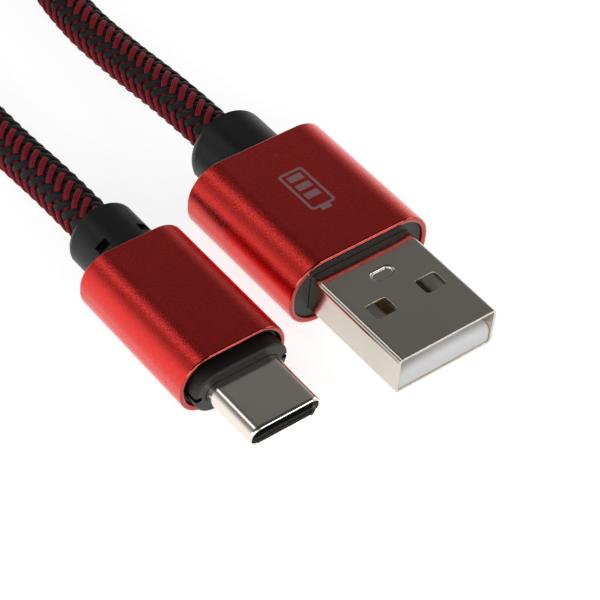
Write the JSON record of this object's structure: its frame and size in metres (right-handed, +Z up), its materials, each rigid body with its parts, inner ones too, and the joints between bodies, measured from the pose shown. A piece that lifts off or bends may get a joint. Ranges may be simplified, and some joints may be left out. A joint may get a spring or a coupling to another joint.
{
  "type": "charging cable",
  "caption": "Braided charging cable with a wide type-A plug and a slim type-C plug in red anodised sleeves, side by side, its spare cord coiled behind them.",
  "frame": {"origin": "on the surface the cable lies on, under the middle of the box round the two plugs and their strain reliefs, without the cord", "axes": "+X the way both plugs go in, +Y across towards the type-A plug, +Z up"},
  "size_m": [0.1494, 0.0696, 0.01],
  "materials": {
    "red_anodised": "bead-blasted and anodised red",
    "nickel_shell": "nickel plate, polished",
    "white_plastic": "moulded, satin",
    "black_plastic": "moulded, finely textured",
    "core_plastic": "moulded, satin",
    "inner_mould": "moulded, plain",
    "relief_rubber": "matte thermoplastic rubber",
    "contact_gold": "gold flash over nickel",
    "spring_steel": "stamped stainless steel",
    "solder": "bright solder",
    "board": "green solder mask",
    "resistor": "black chip",
    "wire_insulation": "PVC",
    "braid": "red and black nylon braid"
  },
  "bodies": {
    "root": {"type_a_sleeve": "red_anodised", "type_a_shell": "nickel_shell", "type_a_insulator": "white_plastic", "type_a_power_contacts": "contact_gold", "type_a_data_contacts": "contact_gold", "type_a_front_bezel": "black_plastic", "type_a_inner_mould": "inner_mould", "type_a_solder_joints": "solder", "type_a_wires": "wire_insulation", "type_a_strain_relief": "relief_rubber", "type_c_sleeve": "red_anodised", "type_c_shell": "nickel_shell", "type_c_insulator": "core_plastic", "type_c_upper_contacts": "contact_gold", "type_c_lower_contacts": "contact_gold", "type_c_latch_plate": "spring_steel", "type_c_ground_springs": "spring_steel", "type_c_collar": "black_plastic", "type_c_board": "board", "type_c_resistor": "resistor", "type_c_inner_mould": "inner_mould", "type_c_solder_joints": "solder", "type_c_wires": "wire_insulation", "type_c_strain_relief": "relief_rubber", "type_a_side_cord": "braid", "type_c_side_cord": "braid", "cord_coil": "braid"}
  },
  "joints": []
}
